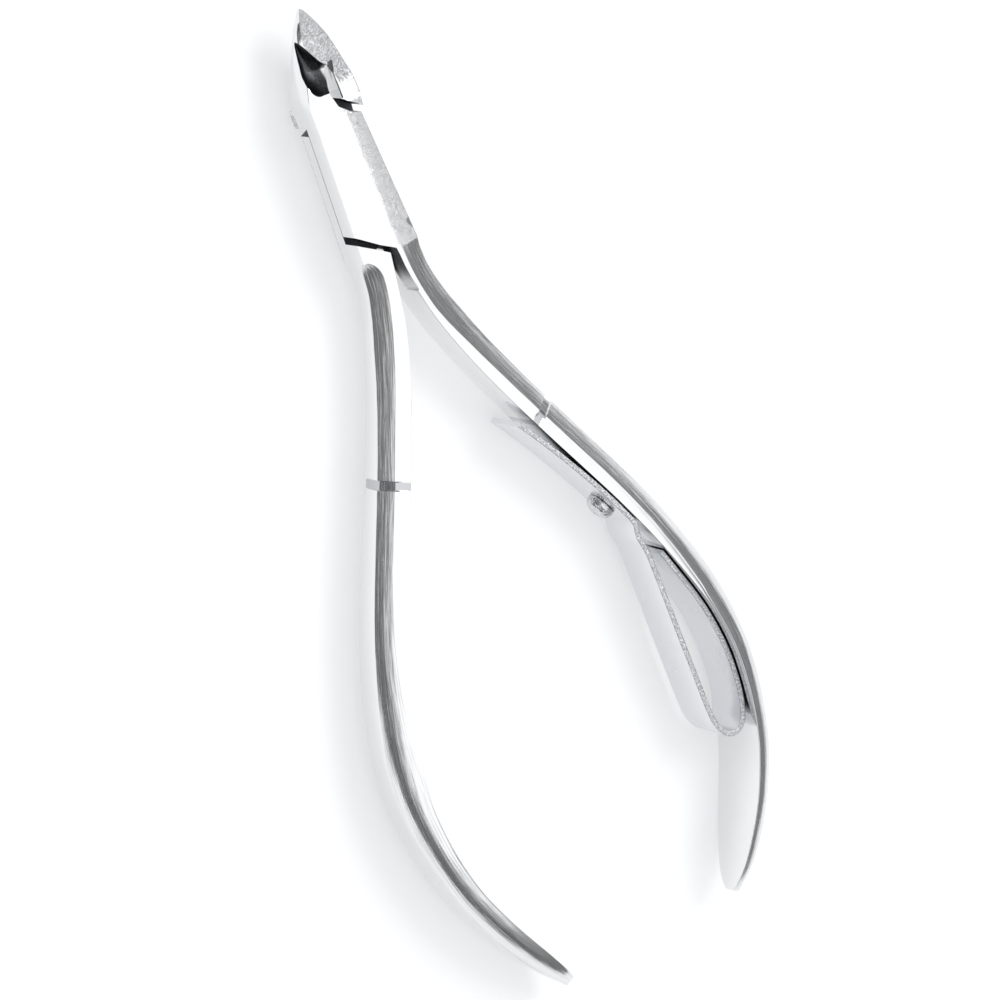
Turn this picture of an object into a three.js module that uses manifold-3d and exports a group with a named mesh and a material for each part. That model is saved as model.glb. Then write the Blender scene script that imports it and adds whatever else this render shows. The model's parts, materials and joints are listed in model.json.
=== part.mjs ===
// Cuticle nipper, millimetres, lying flat: Y runs along the tool with the jaws at +Y,
// X across it, Z along the pivot. The pivot axis is the Z axis and the jaws are shut.
import * as THREE from "three";
import { mergeVertices } from "three/addons/utils/BufferGeometryUtils.js";
import Module from "manifold-3d";

const wasm = await Module();
wasm.setup();

// ---- driving sizes ----
const JAW_REACH = 18.7; // pivot axis to the jaw tip
const HANDLE_REACH = 85.1; // pivot axis to the ends of the handles
const HALF_SPAN = 21.05; // centre line of the tool to the widest point of a handle
const JOINT_WIDTH = 6.1; // across both side faces at the pivot
const JOINT_THICKNESS = 5.84; // front plate, rear plate and the seam between them
const JOINT_TAPER = 0.051; // half width gained for each millimetre towards the handles
const SEAM = 0.12; // air between the two lapped plates
const RIVET_RADIUS = 1.75;
const RIVET_HEAD_RADIUS = 2.15;
const RIVET_HEAD_DEPTH = 0.7;
const RUNNING_FIT = 0.05; // radial play of the front lever on the rivet
const TIGHT_FIT = 0.02; // radial allowance where a rivet is squeezed tight
const HANDLE_THICKNESS = 3.1; // inner face to outer side, upper part of a handle
const GRIP_BREADTH = 9.4; // widest part of a handle along Z
const GROOVE_WIDTH = 0.9;
const GROOVE_DEPTH = 0.26;
const GROOVE_AT = 0.341; // share of HANDLE_REACH
const EDGE_GAP = 0.04; // air between the shut cutting edges
const EDGE_TIP_X = 0.6; // the ground edges run a little off the centre line
const EDGE_HEEL_X = 1.22;
const HEEL_Y = 0.684 * JAW_REACH;
const SPRING_THICKNESS = 0.55;
const SPRING_BREADTH = 6.6;
const SPRING_GAP = 0.14; // return leg to the handle's inner face
const SPRING_RIVET_RADIUS = 0.85;
const SPRING_HEAD_RADIUS = 1.55;
const SPRING_HEAD_HEIGHT = 1.2;

const HALF_T = JOINT_THICKNESS / 2;
const FAR = 4 * JOINT_WIDTH;

// ---- solids ----

// A closed manifold solid from corner positions and triangle indices, turned to face outwards.
function solid(positions, triangles) {
  const geometry = new THREE.BufferGeometry();
  geometry.setAttribute("position", new THREE.Float32BufferAttribute(positions, 3));
  geometry.setIndex(triangles);
  const merged = mergeVertices(geometry, 1e-4);
  const p = merged.attributes.position.array;
  const triVerts = new Uint32Array(merged.index.array);
  let volume = 0;
  const a = new THREE.Vector3();
  const b = new THREE.Vector3();
  const c = new THREE.Vector3();
  for (let i = 0; i < triVerts.length; i += 3) {
    a.fromArray(p, 3 * triVerts[i]);
    b.fromArray(p, 3 * triVerts[i + 1]);
    c.fromArray(p, 3 * triVerts[i + 2]);
    volume += a.dot(b.cross(c));
  }
  if (volume < 0) {
    for (let i = 0; i < triVerts.length; i += 3) {
      [triVerts[i + 1], triVerts[i + 2]] = [triVerts[i + 2], triVerts[i + 1]];
    }
  }
  return new wasm.Manifold(new wasm.Mesh({ numProp: 3, vertProperties: p, triVerts }));
}

// A skin through rings of equal point count, closed with a flat cap at each end.
// Each ring is a list of [x, y, z]; capPlane maps a point to the plane the caps are cut in.
function loft(rings, capPlane) {
  const count = rings[0].length;
  const positions = rings.flat(2);
  const triangles = [];
  for (let r = 0; r + 1 < rings.length; r++) {
    for (let i = 0; i < count; i++) {
      const j = (i + 1) % count;
      const a = r * count + i;
      const b = r * count + j;
      triangles.push(a, b, b + count, a, b + count, a + count);
    }
  }
  const cap = (r, flip) => {
    const flat = rings[r].map((q) => new THREE.Vector2(...capPlane(q, r)));
    const anti = THREE.ShapeUtils.area(flat) > 0;
    for (const [a, b, c] of THREE.ShapeUtils.triangulateShape(flat, [])) {
      const base = r * count;
      if (anti === flip) triangles.push(base + a, base + c, base + b);
      else triangles.push(base + a, base + b, base + c);
    }
  };
  cap(0, true);
  cap(rings.length - 1, false);
  return fixCaps(positions, triangles, rings, count);
}

// Caps may come out facing either way; the pair that closes the skin is kept.
function fixCaps(positions, triangles, rings, count) {
  const walls = 6 * count * (rings.length - 1);
  const used = new Set();
  for (let i = 0; i < walls; i += 3) {
    for (let k = 0; k < 3; k++) {
      used.add(triangles[i + k] + "," + triangles[i + ((k + 1) % 3)]);
    }
  }
  const half = (triangles.length - walls) / 2;
  for (const start of [walls, walls + half]) {
    let clash = 0;
    for (let i = start; i < start + half; i += 3) {
      for (let k = 0; k < 3; k++) {
        if (used.has(triangles[i + k] + "," + triangles[i + ((k + 1) % 3)])) clash++;
      }
    }
    if (clash === 0) continue;
    for (let i = start; i < start + half; i += 3) {
      [triangles[i + 1], triangles[i + 2]] = [triangles[i + 2], triangles[i + 1]];
    }
  }
  return solid(positions, triangles);
}

// A plan outline [x, y] pushed straight up from z0 to z1.
function prism(outline, z0, z1) {
  const rings = [z0, z1].map((z) => outline.map(([x, y]) => [x, y, z]));
  return loft(rings, (q) => [q[0], q[1]]);
}

// A lathe-turned solid: profile of [radius, height], axis along `direction` from `base`.
function turned(profile, segments, base, direction) {
  const points = profile.map(([r, h]) => new THREE.Vector2(r, h));
  const geometry = new THREE.LatheGeometry(points, segments);
  geometry.deleteAttribute("normal");
  geometry.deleteAttribute("uv");
  const turn = new THREE.Quaternion().setFromUnitVectors(new THREE.Vector3(0, 1, 0), direction);
  geometry.applyQuaternion(turn);
  geometry.translate(base.x, base.y, base.z);
  const merged = mergeVertices(geometry, 1e-4);
  const keep = [];
  const index = merged.index.array;
  for (let i = 0; i < index.length; i += 3) {
    const [a, b, c] = [index[i], index[i + 1], index[i + 2]];
    if (a !== b && b !== c && a !== c) keep.push(a, b, c);
  }
  return solid(Array.from(merged.attributes.position.array), keep);
}

const mirrored = (line) => line.map(([x, y]) => [-x, y]);

// ---- the handle: one profile, used on the right as it is and turned half round for the left ----

// Centre line as shares of the reach (y) and of the half span (x).
const HANDLE_LINE = [
  [0.07696, 0.05875],
  [0.08456, 0.07991],
  [0.09121, 0.1011],
  [0.1017, 0.1222],
  [0.1197, 0.1445],
  [0.1539, 0.1763],
  [0.2375, 0.235],
  [0.3373, 0.2938],
  [0.4466, 0.3525],
  [0.5596, 0.4113],
  [0.6708, 0.47],
  [0.7696, 0.5288],
  [0.8504, 0.5875],
  [0.9121, 0.6463],
  [0.9368, 0.7051],
  [0.9197, 0.7638],
  [0.8703, 0.8226],
  [0.8005, 0.8696],
  [0.7078, 0.9166],
  [0.5938, 0.9636],
  [0.4893, 1],
].map(([x, y]) => new THREE.Vector3(x * HALF_SPAN, -y * HANDLE_REACH, 0));
const handleCurve = new THREE.CatmullRomCurve3(HANDLE_LINE, false, "centripetal");

// Straight-line reading of a table of [share, value] pairs.
function read(table, share) {
  for (let i = 0; i + 1 < table.length; i++) {
    const [s0, v0] = table[i];
    const [s1, v1] = table[i + 1];
    if (share <= s1) return v0 + ((v1 - v0) * Math.max(0, share - s0)) / (s1 - s0);
  }
  return table[table.length - 1][1];
}

// Tables run over the share of HANDLE_REACH; thickness and breadth as shares of their own sizes.
const THICKNESS = [
  [0.053, 1.032],
  [0.08, 1.032],
  [0.101, 0.952],
  [0.122, 0.903],
  [0.145, 0.935],
  [0.176, 1],
  [0.235, 1.039],
  [0.541, 1.006],
  [0.646, 0.919],
  [0.729, 0.806],
  [0.787, 0.735],
  [0.917, 0.694],
  [0.964, 0.581],
  [1, 0.355],
];
const BREADTH = [
  [0.053, 0.617],
  [0.106, 0.613],
  [0.294, 0.635],
  [0.47, 0.745],
  [0.588, 0.87],
  [0.705, 0.979],
  [0.823, 1],
  [0.893, 0.968],
  [0.934, 0.862],
  [0.964, 0.702],
  [0.982, 0.521],
  [0.994, 0.319],
  [1, 0.106],
];
// Bevel width as a share of the thickness, its fall as a share of its width, and the lean of
// the flat beside it as a share of half the joint's thickness. On the front of the right handle
// the bevel runs on from the joint's crowned edge; on its back it starts in a short scoop.
const FRONT = {
  bevel: [
    [0.047, 0.72],
    [0.082, 0.74],
    [0.129, 0.8],
    [0.176, 0.78],
    [0.235, 0.66],
    [0.306, 0.6],
    [0.458, 0.6],
    [0.541, 0.68],
    [0.611, 0.8],
    [0.682, 0.92],
    [1.011, 0.95],
  ],
  fall: [
    [0.047, 0.25],
    [0.082, 0.34],
    [0.106, 0.48],
    [0.153, 0.6],
    [0.306, 0.72],
    [0.47, 0.8],
    [0.646, 0.9],
    [0.729, 1],
    [0.987, 1.2],
  ],
  lean: [
    [0.071, 0],
    [0.106, 0.017],
    [0.141, 0.021],
    [0.235, 0.034],
    [0.353, 0.048],
    [0.529, 0.068],
    [0.705, 0.034],
    [1.011, 0.017],
  ],
};
const BEHIND = {
  bevel: [
    [0.079, 0.02],
    [0.083, 0.12],
    [0.09, 0.34],
    [0.101, 0.52],
    [0.118, 0.58],
    [0.169, 0.55],
    [0.235, 0.5],
    [0.306, 0.48],
    [0.458, 0.52],
    [0.541, 0.62],
    [0.611, 0.78],
    [0.682, 0.92],
    [1.011, 0.95],
  ],
  fall: [
    [0.079, 0.9],
    [0.306, 0.84],
    [0.47, 0.86],
    [0.646, 0.9],
    [0.729, 1],
    [0.987, 1.2],
  ],
  lean: [
    [0.071, 0],
    [0.106, 0.034],
    [0.141, 0.068],
    [0.235, 0.068],
    [0.353, 0.055],
    [0.529, 0.068],
    [0.705, 0.034],
    [1.011, 0.017],
  ],
};

const shareAt = (t) => -handleCurve.getPoint(t).y / HANDLE_REACH;
function paramAt(share) {
  let low = 0;
  let high = 1;
  for (let i = 0; i < 40; i++) {
    const mid = (low + high) / 2;
    if (shareAt(mid) < share) low = mid;
    else high = mid;
  }
  return (low + high) / 2;
}

// Centre point, outward normal and section sizes at a share of the reach.
function station(share) {
  const t = paramAt(share);
  const centre = handleCurve.getPoint(t);
  const along = handleCurve.getTangent(t);
  const out = new THREE.Vector3(-along.y, along.x, 0);
  const thickness = read(THICKNESS, share) * HANDLE_THICKNESS;
  const breadth = read(BREADTH, share) * GRIP_BREADTH;
  return { centre, along, out, thickness, breadth };
}

// One side of the D-shaped section: inner edge, the end of the flat, the bevel, the outer side.
function profile(form, share, cut) {
  const { thickness, breadth } = station(share);
  const h = breadth / 2;
  const bevel = read(form.bevel, share) * thickness;
  const lean = read(form.lean, share) * HALF_T * Math.min(1, h / HALF_T);
  const fall = Math.min(bevel * read(form.fall, share), 0.8 * h - lean);
  const bulge = read([[0.07, 0.08], [0.35, 0.14], [0.68, 0.3], [1, 0.3]], share);
  const flatEnd = thickness / 2 - bevel - 0.3 * cut;
  const outer = thickness / 2 - cut;
  return [
    [-thickness / 2, h],
    [flatEnd, h - lean - 0.3 * cut],
    [(flatEnd + outer) / 2 + bulge * bevel, h - lean - fall * (0.5 - bulge) - 0.4 * cut],
    [outer, h - lean - fall],
  ];
}

function handleRing(share, cut) {
  const { centre, out } = station(share);
  const front = profile(FRONT, share, cut);
  const behind = profile(BEHIND, share, cut).map(([n, z]) => [n, -z]);
  const ring = front.concat(behind.reverse());
  return ring.map(([n, z]) => [centre.x + out.x * n, centre.y + out.y * n, z]);
}

function handle() {
  const shares = [0.054, 0.075, 0.082, 0.09, 0.1, 0.115, 0.13, 0.15];
  for (let i = 1; i <= 30; i++) shares.push(0.15 + i * 0.0266);
  shares.push(0.962, 0.975, 0.985, 0.993, 0.998, 1);
  const w = GROOVE_WIDTH / HANDLE_REACH / 2;
  const plain = shares.filter((s) => Math.abs(s - GROOVE_AT) > 2.2 * w).map((s) => [s, 0]);
  const groove = [
    [GROOVE_AT - w, 0],
    [GROOVE_AT - 0.7 * w, GROOVE_DEPTH],
    [GROOVE_AT + 0.7 * w, GROOVE_DEPTH],
    [GROOVE_AT + w, 0],
  ];
  const rings = plain.concat(groove).sort((p, q) => p[0] - q[0]);
  const planeAt = (share) => {
    const { centre, out } = station(share);
    return (q) => [(q[0] - centre.x) * out.x + (q[1] - centre.y) * out.y, q[2]];
  };
  const start = planeAt(rings[0][0]);
  const end = planeAt(1);
  return loft(
    rings.map(([s, cut]) => handleRing(s, cut)),
    (q, r) => (r === 0 ? start(q) : end(q)),
  );
}

// ---- the joint ----

const halfWidth = (y) => JOINT_WIDTH / 2 - JOINT_TAPER * y;
const u = JOINT_WIDTH / 6.1; // joint plan sizes follow the joint width
const scaled = (line) => line.map(([x, y]) => [x * u, y * u]);

// Lap slots, x and y at the stated joint width. Each slot has a plate side and a shoulder side.
// Front slots: the plate belongs to the front lever and the shoulders to the rear one.
const TOP_PLATE = scaled([
  [0.92, 13],
  [0.7, 12],
  [0.42, 11.3],
  [-0.14, 9.87],
  [0.05, 9.3],
  [0.28, 8.4],
  [0.93, 7.85],
  [1.67, 7.2],
  [3.4, 6.6],
]);
const TOP_SHOULDER = scaled([
  [1.5, 13],
  [1.28, 12.2],
  [1.03, 11.5],
  [0.84, 10.5],
  [0.67, 9.83],
  [0.73, 9.16],
  [1.6, 8.45],
  [2.47, 7.74],
  [3.4, 7.1],
]);
const LOW_PLATE = scaled([
  [-3.3, -4.25],
  [-2.82, -4.6],
  [-1.04, -6],
  [0.53, -7.02],
  [0.62, -7.8],
  [0.68, -9],
  [0.86, -10.4],
  [1.16, -11.8],
  [0.5, -12.6],
]);
const LOW_SHOULDER = scaled([
  [-3.3, -5.1],
  [-3.05, -5.3],
  [-1.24, -6.5],
  [-0.13, -7.3],
  [-0.16, -7.9],
  [-0.3, -9.6],
]);
// Rear slots: the plate belongs to the rear lever. The lower one is the front one mirrored.
const REAR_PLATE = scaled([
  [1.3, 13],
  [1.2, 12],
  [0.9, 10.8],
  [0.3, 9.6],
  [-0.04, 8.4],
  [-1.72, 6.6],
  [-3.3, 6.2],
]);
const REAR_SHOULDER = scaled([
  [0.92, 13],
  [0.7, 12],
  [0.3, 10.9],
  [-0.4, 10],
  [-0.65, 8.9],
  [-1.97, 7.3],
  [-3.3, 7],
]);

const HIGH = 13 * u;
const LOW = -9.6 * u;
const LOWER = -12.6 * u;
const reversed = (line) => line.slice().reverse();

// What is cleared off the front lever: above and below its plate, and its rear half between them.
const clearFrontTop = TOP_PLATE.concat([[FAR, 9.5 * u], [FAR, HIGH]]);
const clearFrontLow = LOW_PLATE.concat([[-FAR, LOWER], [-FAR, -3 * u]]);
const clearFrontRear = REAR_SHOULDER.concat(
  [[-FAR, 9 * u], [-FAR, LOW]],
  reversed(mirrored(LOW_SHOULDER)),
  [[FAR, -3.6 * u], [FAR, HIGH]],
);
// The same for the rear lever, front and rear changed over.
const clearRearTop = REAR_PLATE.concat([[-FAR, 8.5 * u], [-FAR, HIGH]]);
const clearRearLow = mirrored(LOW_PLATE).concat([[FAR, LOWER], [FAR, -3 * u]]);
const clearRearFront = TOP_SHOULDER.concat(
  [[FAR, 10.5 * u], [FAR, LOW]],
  reversed(LOW_SHOULDER),
  [[-FAR, -3.6 * u], [-FAR, HIGH]],
);

// ---- a joint block running into a jaw ----

// The line along which the cutting edges meet: x against y.
function edgeX(y) {
  const share = (y - HEEL_Y) / (JAW_REACH - HEEL_Y);
  return EDGE_HEEL_X + (EDGE_TIP_X - EDGE_HEEL_X) * Math.max(0, Math.min(1, share));
}

// The jaw's sizes against the share of its reach. Outer sides and the ground facet's width are
// shares of the joint's half width; ridge, fall of the facet, rim and back of its half thickness.
const JAW_ROWS = [
  { at: 0.484, left: -0.885, right: 0.99, ridge: 1, facet: 0.49, fall: 0, rim: 1, back: -0.96 },
  { at: 0.535, left: -0.885, right: 1, ridge: 1, facet: 0.49, fall: 0.01, rim: 0.986, back: -0.89 },
  { at: 0.599, left: -0.83, right: 1, ridge: 1, facet: 0.475, fall: 0.04, rim: 0.93, back: -0.753 },
  { at: 0.663, left: -0.734, right: 0.95, ridge: 1, facet: 0.443, fall: 0.144, rim: 0.829, back: -0.589 },
  { at: 0.717, left: -0.64, right: 0.872, ridge: 0.986, facet: 0.426, fall: 0.212, rim: 0.733, back: -0.445 },
  { at: 0.77, left: -0.531, right: 0.8, ridge: 0.959, facet: 0.443, fall: 0.226, rim: 0.664, back: -0.291 },
  { at: 0.824, left: -0.4, right: 0.721, ridge: 0.918, facet: 0.459, fall: 0.233, rim: 0.603, back: -0.13 },
  { at: 0.877, left: -0.256, right: 0.623, ridge: 0.856, facet: 0.426, fall: 0.219, rim: 0.548, back: 0.034 },
  { at: 0.925, left: -0.098, right: 0.498, ridge: 0.788, facet: 0.311, fall: 0.171, rim: 0.52, back: 0.188 },
  { at: 0.963, left: 0.033, right: 0.38, ridge: 0.726, facet: 0.197, fall: 0.116, rim: 0.52, back: 0.308 },
  { at: 0.989, left: 0.131, right: 0.282, ridge: 0.678, facet: 0.098, fall: 0.062, rim: 0.548, back: 0.394 },
  { at: 1, left: 0.177, right: 0.223, ridge: 0.651, facet: 0.033, fall: 0.02, rim: 0.582, back: 0.445 },
];
const CROWN_WIDTH = 0.75; // share of the half width: the plate's outer edge rolls over this far
const CROWN_FALL = 0.21; // share of the half thickness it drops there

// Section of the block: ridge place, face, outer side, back, then the crowned plate edge.
// side is -1 for the front lever (left jaw) and 1 for the rear lever (right jaw).
function blockRing(side, y, flare) {
  const w = halfWidth(y);
  const o = side * (w + flare);
  const t = HALF_T;
  const [c, d] = [CROWN_WIDTH * (JOINT_WIDTH / 2), CROWN_FALL * HALF_T];
  const half = [
    [o, t],
    [o, 0.5 * t],
    [o, -0.5 * t],
    [o, -t],
  ];
  if (side < 0) {
    return [[w - c, t], [-0.2 * w, t], ...half, [w, -t], [w, t - d], [w - 0.43 * c, t - 0.3 * d]];
  }
  return [[-w, t], [0.2 * w, t], ...half, [c - w, -t], [0.43 * c - w, 0.3 * d - t], [-w, d - t]];
}

// Section of the jaw: cutting ridge, ground facet, rim, outer side, back, inner side.
function jawRing(side, row) {
  const y = row.at * JAW_REACH;
  const half = JOINT_WIDTH / 2;
  const outer = (side < 0 ? row.left : row.right) * half;
  const edge = edgeX(y) + (side * EDGE_GAP) / 2;
  const wide = Math.abs(outer - edge);
  const top = row.ridge * HALF_T;
  const fall = row.fall * HALF_T;
  const rim = Math.min(row.rim * HALF_T, top - fall - 0.04);
  const base = row.back * HALF_T;
  const facet = Math.min(row.facet * half, 0.62 * wide);
  const grow = Math.min(1, Math.max(0, (row.at - JAW_ROWS[0].at) / 0.16));
  const ease = 0.3 * HALF_T * Math.min(1, (1.1 * Math.min(wide, rim - base)) / HALF_T) * (0.15 + 0.85 * grow);
  const relief = Math.min(0.25 * half, 0.45 * wide);
  const land = Math.min(0.12 * HALF_T, 0.3 * (top - base));
  const section = [
    [edge, top],
    [edge + side * facet, top - fall],
    [outer - side * 0.15 * wide * grow, rim],
    [outer, rim - 0.22 * (rim - base) - 0.03 * HALF_T],
    [outer - side * 0.1 * ease, base + 1.3 * ease],
    [outer - side * ease, base],
    [edge + side * relief, base],
    [edge + side * 0.5 * relief, (top + base) / 2],
    [edge, top - land],
  ];
  return section.map(([x, z]) => [x, y, z]);
}

function head(side) {
  const first = JAW_ROWS[0];
  const join = first.at * JAW_REACH;
  const reach = Math.abs(side < 0 ? first.left : first.right) * (JOINT_WIDTH / 2);
  const flare = Math.max(0, reach - halfWidth(join));
  const steps = [
    [-7.15 * u, 0],
    [-4.5 * u, 0],
    [0, 0],
    [4.5 * u, 0],
    [0.375 * JAW_REACH, 0.15],
    [0.43 * JAW_REACH, 0.55],
    [0.481 * JAW_REACH, 1],
  ];
  const rings = steps.map(([y, share]) => blockRing(side, y, share * flare).map(([x, z]) => [x, y, z]));
  return loft(rings.concat(JAW_ROWS.map((row) => jawRing(side, row))), (q) => [q[0], q[2]]);
}

// Scoop behind the left jaw's cutting facet: [share of reach, left, right, bottom].
const SCOOP_ROWS = [
  [0.529, -0.295, 0.557, 1.03],
  [0.545, -0.49, 0.557, 0.93],
  [0.578, -0.616, 0.557, 0.736],
  [0.62, -0.675, 0.557, 0.548],
  [0.658, -0.689, 0.525, 0.445],
  [0.682, -0.682, 0.197, 0.411],
  [0.706, -0.662, 0.059, 0.394],
  [0.759, -0.603, -0.072, 0.377],
  [0.813, -0.508, -0.18, 0.394],
  [0.861, -0.393, -0.275, 0.445],
  [0.882, -0.328, -0.308, 0.582],
];

function scoop() {
  const half = JOINT_WIDTH / 2;
  const rings = SCOOP_ROWS.map(([share, l, r, deep]) => {
    const y = share * JAW_REACH;
    const [left, right, bottom] = [l * half, r * half, deep * HALF_T];
    const middle = left + Math.min(0.5 * (right - left), 0.33 * half);
    const section = [
      [left - 0.3 * half, 1.7 * HALF_T],
      [left, Math.min(bottom + 0.38 * HALF_T, 0.993 * HALF_T)],
      [middle, bottom],
      [right, Math.min(bottom + 0.31 * HALF_T, 0.993 * HALF_T)],
      [right + 0.3 * half, 1.7 * HALF_T],
    ];
    return section.map(([x, z]) => [x, y, z]);
  });
  return loft(rings, (q) => [q[0], q[2]]);
}

// ---- the two levers ----

const Z = new THREE.Vector3(0, 0, 1);
const UP_FRONT = HALF_T + 3;

function bore(radius, headRadius) {
  const d = RIVET_HEAD_DEPTH;
  const r = radius;
  const profile = [
    [0, -UP_FRONT],
    [headRadius, -UP_FRONT],
    [headRadius, -HALF_T],
    [r, -HALF_T + d],
    [r, HALF_T - d],
    [headRadius, HALF_T],
    [headRadius, UP_FRONT],
    [0, UP_FRONT],
  ];
  return turned(profile, 48, new THREE.Vector3(), Z);
}

// Turns a solid half a turn about the long axis Y.
function halfTurn(made) {
  const mesh = made.getMesh();
  const p = Array.from(mesh.vertProperties);
  for (let i = 0; i < p.length; i += 3) {
    p[i] = -p[i];
    p[i + 2] = -p[i + 2];
  }
  return solid(p, Array.from(mesh.triVerts));
}

const rightHandle = handle();
const leftHandle = halfTurn(rightHandle);

const front = (outline) => prism(outline, -SEAM / 2, UP_FRONT);
const rear = (outline) => prism(outline, -UP_FRONT, SEAM / 2);

// ---- the loop spring on the right handle ----

const RIVET_SHARE = 0.4747;
const LEAF_LIFT = 0.1; // air between the leaf and the handle at the rivet
const rivetStation = station(RIVET_SHARE);
const rivetInward = rivetStation.out.clone().negate();
const rivetSeat = rivetStation.centre
  .clone()
  .addScaledVector(rivetInward, rivetStation.thickness / 2);

// A point a given distance in from the handle's inner face.
function inwardOf(share, distance) {
  const { centre, out, thickness } = station(share);
  return centre.clone().addScaledVector(out, -(thickness / 2 + distance));
}

function springOutline() {
  const t = SPRING_THICKNESS;
  const near = LEAF_LIFT + t / 2;
  const hug = SPRING_GAP + t / 2;
  const points = [];
  for (const [share, lift] of [
    [0.3255, 0.95],
    [0.3525, 0.62],
    [0.388, 0.32],
    [0.423, 0.12],
  ]) {
    points.push(inwardOf(share, near + lift));
  }
  // The leaf is straight under the rivet's head.
  const down = new THREE.Vector3(-rivetInward.y, rivetInward.x, 0);
  const half = SPRING_HEAD_RADIUS;
  for (const along of [-1.7 * half, -1.05 * half, 0, 1.05 * half, 1.7 * half]) {
    const seat = rivetSeat.clone().addScaledVector(rivetInward, near);
    points.push(seat.addScaledVector(down, along));
  }
  // The outer leg leaves the handle and runs straight down; the bend turns it back.
  const legX = 0.652 * HALF_SPAN;
  for (const [across, share] of [
    [0.978, 0.532],
    [0.998, 0.5546],
    [1.002, 0.582],
    [1, 0.62],
    [1, 0.672],
    [1, 0.727],
    [1, 0.7685],
  ]) {
    points.push(new THREE.Vector3(legX * across, -share * HANDLE_REACH, 0));
  }
  const lowFace = inwardOf(0.8, hug);
  const bendRadius = (lowFace.x - legX) / 2;
  const bendY = -0.7685 * HANDLE_REACH - 0.85 * bendRadius;
  for (const degrees of [200, 235, 270, 305, 335]) {
    const a = (degrees * Math.PI) / 180;
    const x = legX + bendRadius + bendRadius * Math.cos(a);
    points.push(new THREE.Vector3(x, bendY + bendRadius * Math.sin(a), 0));
  }
  for (const share of [0.773, 0.745, 0.705, 0.67, 0.635, 0.6, 0.571, 0.5546]) {
    points.push(inwardOf(share, hug));
  }
  const curve = new THREE.CatmullRomCurve3(points, false, "centripetal");
  const count = 90;
  const left = [];
  const right = [];
  for (let i = 0; i <= count; i++) {
    const p = curve.getPoint(i / count);
    const d = curve.getTangent(i / count);
    left.push([p.x - (d.y * t) / 2, p.y + (d.x * t) / 2]);
    right.push([p.x + (d.y * t) / 2, p.y - (d.x * t) / 2]);
  }
  return left.concat(right.reverse());
}

const SHANK_DEPTH = 0.6 * HANDLE_THICKNESS;
const LEAF_TOP = LEAF_LIFT + SPRING_THICKNESS;

function springHole(radius) {
  const profile = [
    [0, -SHANK_DEPTH - TIGHT_FIT],
    [radius, -SHANK_DEPTH - TIGHT_FIT],
    [radius, 6],
    [0, 6],
  ];
  return turned(profile, 32, rivetSeat, rivetInward);
}

const springRivet = turned(
  [
    [0, -SHANK_DEPTH],
    [SPRING_RIVET_RADIUS, -SHANK_DEPTH],
    [SPRING_RIVET_RADIUS, LEAF_TOP + 0.05],
    [SPRING_HEAD_RADIUS, LEAF_TOP + 0.05],
    [SPRING_HEAD_RADIUS, LEAF_TOP + 0.05 + 0.3 * SPRING_HEAD_HEIGHT],
    [0.82 * SPRING_HEAD_RADIUS, LEAF_TOP + 0.05 + 0.72 * SPRING_HEAD_HEIGHT],
    [0.45 * SPRING_HEAD_RADIUS, LEAF_TOP + 0.05 + 0.96 * SPRING_HEAD_HEIGHT],
    [0, LEAF_TOP + 0.05 + SPRING_HEAD_HEIGHT],
  ],
  32,
  rivetSeat,
  rivetInward,
);

// ---- assembly ----

const leverFront = head(-1)
  .add(rightHandle)
  .subtract(front(clearFrontTop))
  .subtract(front(clearFrontLow))
  .subtract(rear(clearFrontRear))
  .subtract(bore(RIVET_RADIUS + RUNNING_FIT, RIVET_HEAD_RADIUS + RUNNING_FIT))
  .subtract(springHole(SPRING_RIVET_RADIUS + TIGHT_FIT))
  .subtract(scoop());

const leverRear = head(1)
  .add(leftHandle)
  .subtract(rear(clearRearTop))
  .subtract(rear(clearRearLow))
  .subtract(front(clearRearFront))
  .subtract(bore(RIVET_RADIUS + TIGHT_FIT, RIVET_HEAD_RADIUS + TIGHT_FIT));

const pivotRivet = turned(
  [
    [0, -HALF_T],
    [RIVET_HEAD_RADIUS, -HALF_T],
    [RIVET_RADIUS, -HALF_T + RIVET_HEAD_DEPTH],
    [RIVET_RADIUS, HALF_T - RIVET_HEAD_DEPTH],
    [RIVET_HEAD_RADIUS, HALF_T],
    [0, HALF_T],
  ],
  48,
  new THREE.Vector3(),
  Z,
);

const spring = prism(springOutline(), -SPRING_BREADTH / 2, SPRING_BREADTH / 2).subtract(
  springHole(SPRING_RIVET_RADIUS + RUNNING_FIT),
);

// A named mesh from a finished solid.
function piece(name, made, colour, roughness) {
  const data = made.getMesh();
  const geometry = new THREE.BufferGeometry();
  geometry.setAttribute("position", new THREE.Float32BufferAttribute(data.vertProperties, 3));
  geometry.setIndex(Array.from(data.triVerts));
  geometry.computeVertexNormals();
  const material = new THREE.MeshStandardMaterial({ color: colour, metalness: 1, roughness });
  const mesh = new THREE.Mesh(geometry, material);
  mesh.name = name;
  return mesh;
}

const nipper = new THREE.Group();
nipper.add(piece("lever_front", leverFront, 0xc9ccd0, 0.16));
nipper.add(piece("lever_rear", leverRear, 0xc6c9ce, 0.17));
nipper.add(piece("pivot_rivet", pivotRivet, 0xc3c6cb, 0.22));
nipper.add(piece("loop_spring", spring, 0xb4b8be, 0.28));
nipper.add(piece("spring_rivet", springRivet, 0xbfc3c8, 0.24));

// The tool lies on its widest handle edges: the middle of its foot print becomes the origin.
const bounds = new THREE.Box3().setFromObject(nipper);
const middle = bounds.getCenter(new THREE.Vector3());
for (const mesh of nipper.children) {
  mesh.geometry.translate(-middle.x, -middle.y, -bounds.min.z);
}

export default nipper;
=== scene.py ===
"""A cuticle nipper in polished stainless steel, lying flat with its jaws shut."""

import json

import bpy
import numpy as np
from mathutils import Matrix, Vector


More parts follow.
